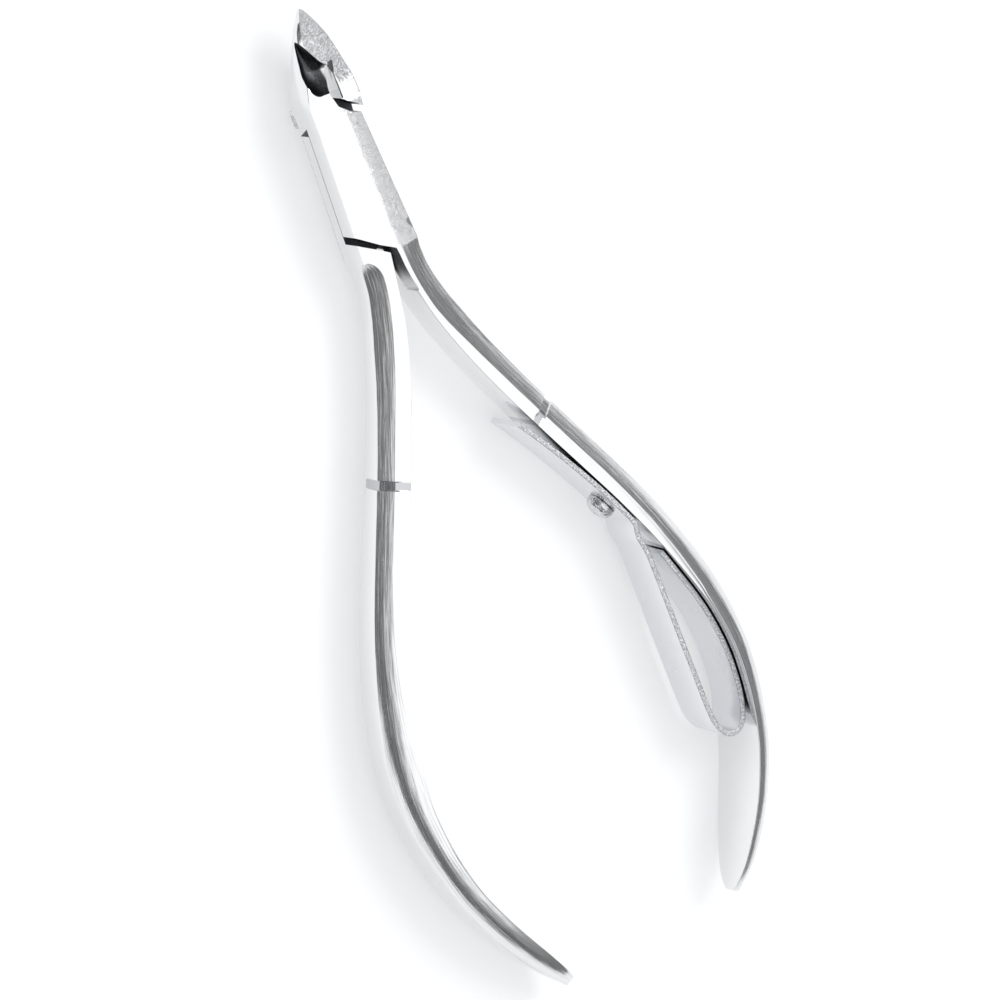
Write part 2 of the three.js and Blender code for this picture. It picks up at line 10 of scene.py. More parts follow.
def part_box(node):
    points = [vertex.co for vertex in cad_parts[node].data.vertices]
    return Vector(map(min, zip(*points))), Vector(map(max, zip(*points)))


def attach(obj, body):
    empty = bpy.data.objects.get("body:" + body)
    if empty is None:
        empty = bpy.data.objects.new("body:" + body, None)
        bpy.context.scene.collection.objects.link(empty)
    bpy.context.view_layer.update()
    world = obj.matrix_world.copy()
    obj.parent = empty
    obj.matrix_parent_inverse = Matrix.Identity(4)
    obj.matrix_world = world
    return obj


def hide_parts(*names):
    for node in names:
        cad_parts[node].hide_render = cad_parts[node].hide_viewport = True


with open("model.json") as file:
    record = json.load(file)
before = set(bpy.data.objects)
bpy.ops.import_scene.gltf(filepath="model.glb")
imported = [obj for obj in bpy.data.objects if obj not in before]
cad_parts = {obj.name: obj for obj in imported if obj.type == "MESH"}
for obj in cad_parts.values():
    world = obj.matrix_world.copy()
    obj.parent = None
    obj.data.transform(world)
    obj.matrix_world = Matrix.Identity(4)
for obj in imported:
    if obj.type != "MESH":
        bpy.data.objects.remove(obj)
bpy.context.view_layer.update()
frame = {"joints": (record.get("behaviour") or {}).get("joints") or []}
MM = 0.001
scene = bpy.context.scene

# ---- camera -------------------------------------------------------------------------------
# A long lens looks down on the tool from beyond the jaws and to their left, turned so that
# the jaws point to the upper left of the picture.
joints = {joint["name"]: joint for joint in frame["joints"]}
pivot = Vector(joints["jaw_hinge"]["pos_m"])
AIM = pivot + Vector((2.04, -36.01, 0)) * MM
TOWARDS_TIP, ABOVE = np.radians(126.87), np.radians(64.36)
DISTANCE, ROLL, LENS = 608.6 * MM, np.radians(102.59), 216.1

camera_data = bpy.data.cameras.new("camera")
camera_data.lens, camera_data.sensor_width = LENS, 36
camera_data.clip_start, camera_data.clip_end = 0.01, 10
camera = bpy.data.objects.new("camera", camera_data)
scene.collection.objects.link(camera)
scene.camera = camera
back = Vector((
    -np.sin(TOWARDS_TIP) * np.cos(ABOVE),
    -np.cos(TOWARDS_TIP) * np.cos(ABOVE),
    np.sin(ABOVE),
))
level = (-back).cross(Vector((0, 0, 1))).normalized()
upright = level.cross(-back)
right = level * np.cos(ROLL) + upright * np.sin(ROLL)
up = upright * np.cos(ROLL) - level * np.sin(ROLL)
facing_tool = Matrix((right, up, back)).transposed().to_4x4()
camera.matrix_world = Matrix.Translation(AIM + back * DISTANCE) @ facing_tool

# ---- lever steel --------------------------------------------------------------------------
# Forged stainless steel, ground to shape and buffed to a mirror. The wheel leaves fine lines
# along the handles, and the joint and the jaws keep the satin grain of the grinding belt.


class Sig:
    """A shader socket that adds Math nodes when it is used in a sum."""

    def __init__(self, graph, socket):
        self.graph, self.socket = graph, socket

    def _math(self, operation, *values):
        """Adds one Math node fed with the values in order."""
        return self.graph.node("ShaderNodeMath", {"operation": operation}, dict(enumerate(values)))

    def __add__(self, other):
        return self._math("ADD", self, other)

    __radd__ = __add__

    def __mul__(self, other):
        return self._math("MULTIPLY", self, other)

    __rmul__ = __mul__

    def __sub__(self, other):
        return self._math("SUBTRACT", self, other)

    def __rsub__(self, other):
        return self._math("SUBTRACT", other, self)

    def __abs__(self):
        return self._math("ABSOLUTE", self)

    def ramp(self, low, high, to_low=0.0, to_high=1.0):
        """Smooth remap from low..high to to_low..to_high, held at its ends."""
        return self.graph.node(
            "ShaderNodeMapRange", {"clamp": True, "interpolation_type": "SMOOTHSTEP"},
            {0: self, 1: low, 2: high, 3: to_low, 4: to_high})


class Graph:
    """A material's node tree with one Principled shader."""

    def __init__(self, name, **constants):
        self.material = bpy.data.materials.new(name)
        self.material.use_nodes = True
        self.tree = self.material.node_tree
        self.shader = self.tree.nodes["Principled BSDF"]
        for socket, value in constants.items():
            self.shader.inputs[socket.replace("_", " ")].default_value = value

    def node(self, kind, settings=None, values=None, output=0):
        """Adds a node, sets its settings and feeds or sets its sockets."""
        made = self.tree.nodes.new(kind)
        for key, value in (settings or {}).items():
            setattr(made, key, value)
        for key, value in (values or {}).items():
            self.feed(made.inputs[key], value)
        return Sig(self, made.outputs[output])

    def feed(self, socket, value):
        """Links a socket to another, or sets its constant."""
        if isinstance(value, Sig):
            self.tree.links.new(value.socket, socket)
        else:
            socket.default_value = value

    def into(self, name, value):
        """Feeds a named socket of the Principled shader."""
        self.feed(self.shader.inputs[name], value)

    def part(self, vector, index):
        """One of a vector's three parts: 0 for X, 1 for Y, 2 for Z."""
        return self.node("ShaderNodeSeparateXYZ", {}, {0: vector}, output=index)

    def vector(self, x, y, z=0.0):
        """Joins three values into a vector."""
        return self.node("ShaderNodeCombineXYZ", {}, {0: x, 1: y, 2: z})

    def place(self):
        """Object coordinates in millimetres about the pivot."""
        return self.node("ShaderNodeMapping", {}, {
            "Vector": self.node("ShaderNodeTexCoord", output=3),
            "Location": tuple(-p / MM for p in pivot), "Scale": (1 / MM,) * 3})

    def noise(self, where, scale, detail=2.0, rough=0.5):
        """Smooth noise about 0.5 at a place; scale is its cells to one unit of that place."""
        return self.node("ShaderNodeTexNoise", {}, {
            "Vector": where, "Scale": scale, "Detail": detail, "Roughness": rough})

    def blend(self, share, one, two):
        """Colour going from one to two with the share."""
        return self.node("ShaderNodeMix", {"data_type": "RGBA"}, {
            0: share, 6: (*one, 1), 7: (*two, 1)}, output=2)

    def bump(self, *layers):
        """Stacks (height, depth in mm) layers into one normal."""
        normal = None
        for height, depth in layers:
            values = {"Strength": 1.0, "Distance": depth * MM, "Height": height}
            if normal is not None:
                values["Normal"] = normal
            normal = self.node("ShaderNodeBump", {}, values)
        self.into("Normal", normal)


def lever_steel():
    """Polished on the handles' flats and sides, finely lined on their bevels, satin on the
    joint and the ground facets. The right jaw facet carries painted shade over its grain,
    and the cross groove is painted dark as shade. UV: U runs along, V tells the side of the section."""
    steel = Graph("lever_steel", Metallic=1.0)
    uv = steel.node("ShaderNodeUVMap", {"uv_map": "run"})
    u, v = steel.part(uv, 0), steel.part(uv, 1)
    where = steel.place()
    x, y, z = (steel.part(where, index) for index in range(3))
    handle = v.ramp(1.5, 1.6, 1, 0)
    side = abs(v - 0.493)
    bevel = side.ramp(0.03, 0.05) * side.ramp(0.35, 0.38, 1, 0) * handle
    lines = steel.noise(steel.vector(u * 0.9, v * 60.0), 1.0, 5.0, 0.62)
    broad = steel.noise(steel.vector(u * 1.6, v * 14.0), 1.0, 2.0, 0.5)
    grain = steel.noise(where, 5.5, 4.0, 0.75)
    fine = steel.noise(where, 14.0, 2.0, 0.6)
    swell = steel.noise(where, 0.35, 1.0)
    face = abs(z).ramp(1.6, 2.0) * (1.0 - handle)
    joint = face * (x * z).ramp(-1.0, 5.0) * y.ramp(8.2, 9.0, 1, 0)
    facet = (abs(v - 2.1).ramp(0.055, 0.07, 1, 0) + v.ramp(2.99, 3.0)) * y.ramp(10.5, 11.5)
    # Painted shade over real ground grain: the jaw facet right of the ridge is darkened for the dim
    # reflection it takes.
    right = (x + y * 0.095 - 2.32).ramp(0.0, 0.04) * y.ramp(9.6, 11.6) * z.ramp(0.9, 1.3) * (1.0 - handle)
    satin_and_facet_shade = joint + facet * 0.8 + right * 0.8
    satin_and_facet_shade = satin_and_facet_shade.ramp(0.0, 1.0)
    steel.into("Roughness", 0.09 + bevel * lines.ramp(0.35, 0.7, 0.08, 0.2)
               + satin_and_facet_shade * grain.ramp(0.35, 0.7, 0.1, 0.22) + fine.ramp(0.5, 0.8, 0.0, 0.04))
    # Painted shade: the cross groove's notch is darkened in colour.
    groove_painted_shade = abs(u - 2.9).ramp(0.03, 0.045, 1, 0) * handle
    # Colour: polishing lines on the bevels and satin grain, plus painted shade in the groove and on the right
    # jaw facet.
    tone_and_painted_light = (groove_painted_shade * 0.7 + bevel * lines.ramp(0.4, 0.65) * 0.5 + satin_and_facet_shade * grain.ramp(0.4, 0.62) * 0.9
            + right * grain.ramp(0.4, 0.6, 0.1, 0.7))
    steel.into("Base Color", steel.blend(
        tone_and_painted_light.ramp(0, 1),
        (0.84, 0.845, 0.85), (0.46, 0.465, 0.48)))
    steel.bump((swell, 0.06), (broad * bevel, 0.05), (lines * (0.2 + bevel), 0.014),
               (grain * satin_and_facet_shade, 0.12), (fine, 0.0006))
    return steel.material


def joint_painted_shade_inside():
    """The lapped faces, the slots, the bores and the scoop are painted near black as shade, lighter where the
    low slot opens, with a painted highlight by the scoop.
    """
    dark = Graph("joint_painted_shade_inside", Metallic=1.0)
    where = dark.place()
    x, y = dark.part(where, 0), dark.part(where, 1)
    grain = dark.noise(where, 4.0, 3.0, 0.6)
    # Painted shade in the scoop: a speckled mid-dark grey on its right part.
    scoop = y.ramp(9.6, 10.2) * x.ramp(-1.2, -0.5)
    # Painted highlight: a bright patch on the plate's edge beside the scoop.
    tone_and_painted_light = y.ramp(10.6, 11.4) * x.ramp(0.25, 0.65) * x.ramp(1.0, 1.2, 1, 0) * y.ramp(12.3, 12.9, 1, 0)
    # Painted shade that lightens towards the handles, where the slot between them opens.
    opened = y.ramp(-12.0, -8.6, 1, 0)
    # Painted shade: near black in the recesses, lifted to grey by the masks above.
    dark.into("Base Color", dark.blend(
        (scoop * grain.ramp(0.3, 0.7, 0.12, 0.2) + tone_and_painted_light + opened).ramp(0, 1),
        (0.035, 0.036, 0.04), (0.8, 0.8, 0.8)))
    dark.into("Roughness", grain.ramp(0.3, 0.7, 0.3, 0.45))
    dark.bump((grain, 0.02))
    return dark.material


# The second material is painted shade for the joint's slots, seams, bores and scoop.
steel, painted_shade_inside = lever_steel(), joint_painted_shade_inside()

# ---- levers -------------------------------------------------------------------------------
# Each lever is one forging: a jaw, half of the lapped joint and a handle. The two are alike,
# turned half round about the long axis, save for the jaws, which meet edge to edge.
lever_low, lever_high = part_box("lever_front")
rivet_low, rivet_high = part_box("pivot_rivet")
JAW_REACH = (lever_high.y - pivot.y) / MM
HALF_T = (rivet_high.z - rivet_low.z) / 2 / MM
JOINT_HALF, JOINT_TAPER = 3.05, 0.051
GRIP_BREADTH = (lever_high.z - lever_low.z) / MM
SEAM = 0.1


def spline(points, count):
    """A Catmull-Rom curve: cubic between each pair of points, its slope at each point set by
    the points on either side, sampled `count` times a span."""
    p = np.asarray(points, float)
    p = np.vstack([2 * p[0] - p[1], p, 2 * p[-1] - p[-2]])
    t = np.linspace(0, 1, count, endpoint=False)[None, :, None]
    a, b, c, d = (p[i:len(p) - 3 + i, None, :] for i in range(4))
    curve = 0.5 * (2 * b + (c - a) * t + (2 * a - 5 * b + 4 * c - d) * t**2
                   + (3 * b - a - 3 * c + d) * t**3)
    return np.vstack([curve.reshape(-1, p.shape[1]), p[-2]])


def rounded(corners, radius, steps):
    """Closed outlines with eased corners: each corner is a quadratic arc from a point `radius`
    before it to a point `radius` after it. Works on (..., corner, 2) arrays."""
    before = np.roll(corners, 1, axis=-2) - corners
    after = np.roll(corners, -1, axis=-2) - corners
    length_before = np.linalg.norm(before, axis=-1, keepdims=True) + 1e-9
    length_after = np.linalg.norm(after, axis=-1, keepdims=True) + 1e-9
    r = np.minimum(np.asarray(radius, float)[..., None], 0.45 * np.minimum(length_before, length_after))
    start = corners + before / length_before * r
    end = corners + after / length_after * r
    t = np.linspace(0, 1, steps)[:, None]
    arc = ((1 - t)**2 * start[..., None, :] + 2 * t * (1 - t) * corners[..., None, :]
           + t**2 * end[..., None, :])
    return arc.reshape(*corners.shape[:-2], -1, corners.shape[-1])


def solid(name, rings, material, along=0.0, kind=0.0):
    """A closed tube through (ring, point, 3) positions in millimetres about the pivot, with a
    flat cap at each end. UV: `along` by ring, and `kind` plus the share of the way round."""
    count, sides, _ = rings.shape
    ring, side = (grid.ravel() for grid in np.meshgrid(np.arange(count - 1), np.arange(sides), indexing="ij"))
    a, b = ring * sides + side, ring * sides + (side + 1) % sides
    quads = np.stack([a, b, b + sides, a + sides], 1)
    last = (count - 1) * sides
    faces = quads.tolist() + [list(range(sides))[::-1], list(range(last, last + sides))]
    mesh = bpy.data.meshes.new(name)
    mesh.from_pydata(rings.reshape(-1, 3) * MM + np.array(pivot), [], faces)
    share = kind + np.stack([side, side + 1, side + 1, side], 1) / sides
    length = np.broadcast_to(along, count)
    u = length[np.stack([ring, ring, ring + 1, ring + 1], 1)]
    caps = np.full((2 * sides, 2), kind)
    mesh.uv_layers.new(name="run").data.foreach_set(
        "uv", np.vstack([np.stack([u, share], -1).reshape(-1, 2), caps]).ravel())
    mesh.materials.append(material)
    mesh.update()
    centre = rings.mean(1)
    middle = count // 2
    p, q = rings[middle, 0] - centre[middle], rings[middle, sides // 4] - centre[middle]
    if np.dot(np.cross(p, q), centre[-1] - centre[0]) < 0:
        mesh.flip_normals()
    made = bpy.data.objects.new(name, mesh)
    scene.collection.objects.link(made)
    return made


def prism(outline, low, high):
    """A plan outline, eased at its corners, pushed straight up from low to high."""
    outline = rounded(np.asarray(outline, float), np.full(len(outline), 0.12), 4)
    rings = np.empty((2, len(outline), 3))
    rings[:, :, :2] = outline
    rings[0, :, 2], rings[1, :, 2] = low, high
    area = np.sum(outline[:, 0] * np.roll(outline[:, 1], -1) - np.roll(outline[:, 0], -1) * outline[:, 1])
    made = solid("cut", rings, painted_shade_inside, kind=3.0)
    spokes = rings[1, [0, len(outline) // 4]] - rings[1].mean(0)
    signed = np.cross(*spokes)[2]
    if signed * area < 0:
        made.data.flip_normals()
    return made


def carve(body, *steps):
    """Joins or cuts solids in turn, then keeps the result as the body's own mesh."""
    for operation, tool in steps:
        change = body.modifiers.new(operation, "BOOLEAN")
        change.operation, change.object, change.solver = operation, tool, "EXACT"
        change.material_mode = "TRANSFER"
    mesh = bpy.data.meshes.new_from_object(body.evaluated_get(bpy.context.evaluated_depsgraph_get()))
    body.modifiers.clear()
    body.data = mesh
    for _, tool in steps:
        bpy.data.objects.remove(tool)
    return body


def settle(made, body, node, angle=24):
    """Crisp where faces meet sharply, smooth elsewhere; then the piece takes its place."""
    made.name = made.data.name = node + "_look"
    made.data.polygons.foreach_set("use_smooth", [True] * len(made.data.polygons))
    made.data.set_sharp_from_angle(angle=np.radians(angle))
    made.data.update()
    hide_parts(node)
    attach(made, body)


# Handle centre line, then its sizes against the distance from the pivot towards the ends.
CENTRE = np.array([
    (1.62, -5.0), (1.78, -6.8), (1.92, -8.6), (2.14, -10.4), (2.52, -12.3), (3.24, -15.0),
    (5.0, -20.0), (7.1, -25.0), (9.4, -30.0), (11.78, -35.0), (14.12, -40.0), (16.2, -45.0),
    (17.9, -50.0), (19.2, -55.0), (19.72, -60.0), (19.36, -65.0), (18.32, -70.0),
    (16.85, -74.0), (14.9, -78.0), (12.5, -82.0), (10.3, -85.1)])
THICKNESS = [(4.5, 3.2), (6.8, 3.2), (8.6, 2.95), (10.4, 2.8), (12.3, 2.9), (15, 3.1), (20, 3.22),
             (46, 3.12), (55, 2.85), (62, 2.5), (67, 2.28), (78, 2.15), (82, 1.8), (85.1, 1.1)]
BREADTH = [(4.5, 5.8), (9, 5.76), (25, 5.97), (40, 7.0), (50, 8.18), (60, 9.2), (70, GRIP_BREADTH),
           (76, 9.1), (79.5, 8.1), (82, 6.6), (83.6, 4.9), (84.6, 3.0), (85.0, 1.7), (85.1, 1.0)]
# Bevels as shares of the thickness, how far they fall, and the lean of the flats beside them.
# In front the bevel runs on from the joint's crowned edge; behind, it starts in a short scoop.
FRONT = {
    "bevel": [(4, 0.72), (7, 0.74), (11, 0.8), (15, 0.78), (20, 0.66), (26, 0.6), (39, 0.6), (46, 0.68),
              (52, 0.8), (58, 0.92), (86, 0.95)],
    "drop": [(4, 0.25), (7, 0.34), (9, 0.48), (13, 0.6), (26, 0.72), (40, 0.8), (55, 0.9), (62, 1.0),
             (84, 1.2)],
    "tilt": [(6, 0.0), (9, 0.05), (12, 0.06), (20, 0.1), (30, 0.14), (45, 0.2), (60, 0.1), (86, 0.05)],
}
BEHIND = {
    "bevel": [(6.7, 0.0), (7.1, 0.12), (7.7, 0.34), (8.6, 0.52), (10, 0.58), (14.4, 0.55), (20, 0.5),
              (26, 0.48),
              (39, 0.52), (46, 0.62), (52, 0.78), (58, 0.92), (86, 0.95)],
    "drop": [(6.7, 0.9), (26, 0.84), (40, 0.86), (55, 0.9), (62, 1.0), (84, 1.2)],
    "tilt": [(6, 0.0), (9, 0.1), (12, 0.2), (20, 0.2), (30, 0.16), (45, 0.2), (60, 0.1), (86, 0.05)],
}
BULGE = [(6, 0.08), (30, 0.1), (42, 0.2), (58, 0.55), (86, 0.6)]
GROOVE_AT, GROOVE_HALF, GROOVE_DEPTH = 29.0, 0.42, 0.26


def read(table, at):
    """A table of (place, value) pairs read along a smooth curve through them."""
    return np.interp(at, *spline(np.array(table, float), 8).T)


def handle_rings():
    """A D-shaped section carried along the centre line. Its inner face is flat; the front and
    rear slope away a little, then crown over as bevels to the outer side. The crown is a
    quadratic arc from the flat's end A to the side's edge B, pulled a share `bulge` of the way
    to the square corner. A shallow groove crosses the outside."""
    line = spline(CENTRE, 16)
    at = -line[:, 1]
    wanted = np.concatenate([np.arange(4.6, 85.0, 0.22), [85.02, 85.05, 85.1],
                             GROOVE_AT + GROOVE_HALF * np.array([-1.1, -1, -0.85, -0.7, 0.7, 0.85, 1, 1.1])])
    rows = np.unique(np.interp(wanted, at, np.arange(len(at))))
    tangent = np.gradient(line, axis=0)
    tangent /= np.linalg.norm(tangent, axis=1, keepdims=True)
    pick = lambda values: np.interp(rows, np.arange(len(at)), values)
    x, y, tx, ty = pick(line[:, 0]), pick(line[:, 1]), pick(tangent[:, 0]), pick(tangent[:, 1])
    at = -y
    thick, half = read(THICKNESS, at), read(BREADTH, at) / 2
    cut = GROOVE_DEPTH * np.clip((1.12 - np.abs(at - GROOVE_AT) / GROOVE_HALF) * 4, 0, 1)

    def profile(form):
        """Half the section on one face, from the inner edge to the outer side, at every ring."""
        bevel = np.clip(read(form["bevel"], at), 0, 0.95) * thick
        tilt = read(form["tilt"], at) * np.minimum(1, half / 3)
        drop = np.minimum(bevel * read(form["drop"], at), 0.8 * half - tilt)
        a = np.stack([thick / 2 - bevel - 0.3 * cut, half - tilt - 0.3 * cut], 1)
        b = np.stack([thick / 2 - cut, half - tilt - drop], 1)
        k = (a + b) / 2 + read(BULGE, at)[:, None] * (np.stack([b[:, 0], a[:, 1]], 1) - (a + b) / 2)
        s = np.linspace(0, 1, 7)[None, :, None]
        crown = (1 - s)**2 * a[:, None] + 2 * s * (1 - s) * k[:, None] + s**2 * b[:, None]
        crown[..., 1] -= 0.25 * cut[:, None] * np.sin(np.pi * s[..., 0])
        edge = np.stack([-thick / 2, half], 1)
        easy = edge + (a - edge) * 0.5 + np.stack([0 * at, 0.18 * tilt], 1)
        return np.concatenate([edge[:, None], easy[:, None], crown], 1)

    section = np.concatenate([profile(FRONT), profile(BEHIND)[:, ::-1] * (1, -1)], 1)
    soft = np.full(section.shape[:2], 0.5)
    soft[:, [0, -1]] = 0.09
    soft[:, [2, -3, 8, -9]] = np.interp(at, [10, 40, 60], [0.09, 0.16, 0.5])[:, None]
    section = rounded(section, soft, 4)
    rings = np.empty(section.shape[:2] + (3,))
    rings[..., 0] = x[:, None] - ty[:, None] * section[..., 0]
    rings[..., 1] = y[:, None] + tx[:, None] * section[..., 0]
    rings[..., 2] = section[..., 1]
    return rings, at / 10


# Jaws against the distance from the pivot: outer sides, cutting ridge, facet, rim and back.
HEEL = 12.8
JAW_Y = [9.05, 10.0, 11.2, 12.4, 13.4, 14.4, 15.4, 16.4, 17.3, 18.0, 18.5, JAW_REACH]
LEFT_X = [-2.7, -2.7, -2.53, -2.24, -1.95, -1.62, -1.22, -0.78, -0.3, 0.1, 0.4, 0.54]
RIGHT_X = [3.02, 3.1, 3.15, 3.08, 2.98, 2.82, 2.58, 2.2, 1.78, 1.38, 1.02, 0.76]
RIDGE_Z = [2.92, 2.92, 2.92, 2.92, 2.88, 2.8, 2.68, 2.5, 2.3, 2.12, 1.98, 1.9]
FACET = [1.5, 1.5, 1.45, 1.3, 1.25, 1.3, 1.3, 1.2, 0.9, 0.58, 0.3, 0.1]
FALL = [0.0, 0.0, 0.06, 0.42, 0.62, 0.66, 0.68, 0.64, 0.5, 0.34, 0.18, 0.06]
RIM_Z = [2.92, 2.91, 2.8, 2.42, 2.14, 1.94, 1.76, 1.6, 1.52, 1.52, 1.6, 1.7]
BACK_Z = [-2.8, -2.6, -2.2, -1.72, -1.3, -0.85, -0.38, 0.1, 0.55, 0.9, 1.15, 1.3]


def head_rings(side):
    """The joint block, full width, running into one jaw. The jaw's section is a ridge with a
    ground facet sloping off it, then the rim, the outer side and the back."""
    rows = np.linspace(9.05, JAW_REACH, 70)
    smooth = lambda values: read(np.stack([JAW_Y, values], 1), rows)
    outer = smooth(LEFT_X if side < 0 else RIGHT_X)
    edge = np.interp(rows, [HEEL, JAW_REACH], [1.08, 0.52]) + side * 0.012
    top, rim, base, fall = smooth(RIDGE_Z), smooth(RIM_Z), smooth(BACK_Z), smooth(FALL)
    fall *= 1.0 if side < 0 else 0.92
    wide = np.abs(outer - edge)
    face = np.minimum(smooth(FACET), 0.62 * wide)
    ease = np.minimum(0.9, 0.32 * np.minimum(wide, rim - base))
    relief = np.minimum(0.75, 0.45 * wide)
    land = np.minimum(0.35, 0.3 * (top - base))
    rim = np.minimum(rim, top - fall - 0.04)
    grow = np.clip((rows - 9) / 3, 0, 1)
    ease *= 0.15 + 0.85 * grow
    x = np.stack([edge, edge + side * face, outer - side * 0.15 * wide * grow, outer,
                  outer - side * 0.1 * ease,
                  outer - side * ease, edge + side * relief, edge + side * 0.5 * relief, edge], 1)
    z = np.stack([top, top - fall, rim, rim - 0.22 * (rim - base) - 0.1, base + ease * 1.3,
                  base, base, (top + base) / 2, top - land], 1)
    jaw = np.stack([x, z], -1)
    block_rows = np.array([-7.15, -7.1, -6.8, -4.5, 0.0, 4.5, 6.0, 7.0, 7.8, 8.5, 8.9, 9.0])
    w, t = JOINT_HALF - JOINT_TAPER * block_rows, HALF_T + 0 * block_rows
    flare = w + np.clip((block_rows - 6.5) / 2.5, 0, 1)**1.5 * (np.abs(outer[0]) - w[-1])
    x = np.stack([w - 2.3, -0.2 * w, -flare, -flare, -flare, -flare, w, w, w - 1.05], 1)
    z = np.stack([t, t, t, 0.5 * t, -0.5 * t, -t, -t, t - 0.8, t - 0.3], 1)
    if side > 0:
        x = np.stack([-w, 0.2 * w, flare, flare, flare, flare, -w + 2.3, -w + 1.05, -w], 1)
        z = np.stack([t, t, t, 0.5 * t, -0.5 * t, -t, -t, -t + 0.3, -t + 0.8], 1)
    section = np.concatenate([np.stack([x, z], -1), jaw])
    at = np.concatenate([block_rows, rows])
    radius = np.full(section.shape[:2], 0.1)
    block, tip = slice(0, len(block_rows)), slice(len(block_rows), None)
    for crown in (0, 8) if side < 0 else (6, 7):
        radius[block, crown] = 0.9
    radius[block, 7 if side < 0 else 8] = 0.2
    radius[tip, 0], radius[tip, 3:6], radius[tip, 7:] = 0.015, 0.6, 0.02
    section = rounded(section, radius, 5)
    rings = np.empty(section.shape[:2] + (3,))
    rings[..., 0], rings[..., 2] = section[..., 0], section[..., 1]
    rings[..., 1] = at[:, None]
    return rings, at / 10


def scoop_rings():
    """The scoop behind the left cutting facet: a rounded V cut, its bottom a smooth curve that
    rises out at both ends."""
    table = spline(np.array([
        (9.9, -0.9, 1.7, 3.0), (10.2, -1.5, 1.7, 2.72), (10.8, -1.88, 1.7, 2.15), (11.6, -2.06, 1.7, 1.6),
        (12.3, -2.1, 1.6, 1.3), (12.75, -2.08, 0.6, 1.2), (13.2, -2.02, 0.18, 1.15),
        (14.2, -1.84, -0.22, 1.1),
        (15.2, -1.55, -0.55, 1.15), (16.1, -1.2, -0.84, 1.3), (16.5, -1.0, -0.94, 1.7)]), 6)
    y, left, right, deep = table.T
    middle = left + np.minimum(0.5 * (right - left), 1.0)
    x = np.stack([left - 0.9, left, middle - 0.25 * (middle - left), middle + 0.25 * (right - middle),
                  right, right + 0.9], 1)
    above, brim = 0 * y + 5, 2.9
    z = np.stack([above, np.minimum(deep + 1.1, brim), deep + 0.08, deep,
                  np.minimum(deep + 0.9, brim), above], 1)
    section = rounded(np.stack([x, z], -1), np.full(x.shape, 0.3), 5)
    rings = np.empty(section.shape[:2] + (3,))
    rings[..., 0], rings[..., 2], rings[..., 1] = section[..., 0], section[..., 1], y[:, None]
    return rings


# The lapped joint's slots in plan, front and rear, on the plate's side and the shoulder's.
FAR, HIGH, LOW, LOWER, BEYOND = 24.0, 13.0, -9.6, -12.6, HALF_T + 3
TOP_PLATE = [(0.92, 13), (0.7, 12), (0.42, 11.3), (-0.14, 9.87), (0.05, 9.3), (0.28, 8.4), (0.93, 7.85),
             (1.67, 7.2), (3.4, 6.6)]
TOP_SHOULDER = [(1.5, 13), (1.28, 12.2), (1.03, 11.5), (0.84, 10.5), (0.67, 9.83), (0.73, 9.16), (1.6, 8.45),
                (2.47, 7.74), (3.4, 7.1)]
LOW_PLATE = [(-3.3, -4.25), (-2.82, -4.6), (-1.04, -6.0), (0.53, -7.02), (0.62, -7.8), (0.68, -9.0),
             (0.86, -10.4),
             (1.16, -11.8), (0.5, -12.6)]
LOW_SHOULDER = [(-3.3, -5.1), (-3.05, -5.3), (-1.24, -6.5), (-0.13, -7.3), (-0.16, -7.9), (-0.3, -9.6)]
REAR_PLATE = [(1.3, 13), (1.2, 12), (0.9, 10.8), (0.3, 9.6), (-0.04, 8.4), (-1.72, 6.6), (-3.3, 6.2)]
REAR_SHOULDER = [(0.92, 13), (0.7, 12), (0.3, 10.9), (-0.4, 10), (-0.65, 8.9), (-1.97, 7.3), (-3.3, 7.0)]
mirrored = lambda points: [(-px, py) for px, py in points]
front_ends = [TOP_PLATE + [(FAR, 9.5), (FAR, HIGH)], LOW_PLATE + [(-FAR, LOWER), (-FAR, -3)]]
rear_ends = [REAR_PLATE + [(-FAR, 8.5), (-FAR, HIGH)], mirrored(LOW_PLATE) + [(FAR, LOWER), (FAR, -3)]]
front_back = (REAR_SHOULDER + [(-FAR, 9), (-FAR, LOW)] + mirrored(LOW_SHOULDER)[::-1]
              + [(FAR, -3.6), (FAR, HIGH)])
rear_front = TOP_SHOULDER + [(FAR, 10.5), (FAR, LOW)] + LOW_SHOULDER[::-1] + [(-FAR, -3.6), (-FAR, HIGH)]


def turned(profile, centre, axis, material, sides=64):
    """A lathe solid: each (radius, height) pair makes a circle round the axis through centre."""
    axis = Vector(axis).normalized()
    one = axis.orthogonal().normalized()
    two = axis.cross(one)
    r, h = np.array(profile, float).T
    angle = np.linspace(0, 2 * np.pi, sides, endpoint=False)
    ring = np.cos(angle)[:, None] * np.array(one) + np.sin(angle)[:, None] * np.array(two)
    rings = np.asarray(centre, float) + r[:, None, None] * ring + h[:, None, None] * np.array(axis)
    return solid("turned", rings, material, kind=3.0)


rings, along = handle_rings()
seam, blind = SEAM / 2, HALF_T - 0.6
head, head_along = head_rings(-1)
lever_front = carve(
    solid("front", head, steel, head_along, 2.0),
    ("UNION", solid("handle", rings, steel, along)),
    *[("DIFFERENCE", prism(line, -seam, BEYOND)) for line in front_ends],
    ("DIFFERENCE", prism(front_back, -BEYOND, seam)),
    ("DIFFERENCE", solid("cut", scoop_rings(), painted_shade_inside, kind=3.0)),
    ("DIFFERENCE", turned([(1.8, -1), (1.8, blind)], (0, 0, 0), (0, 0, 1), painted_shade_inside)),
)
settle(lever_front, "front_lever_body", "lever_front")

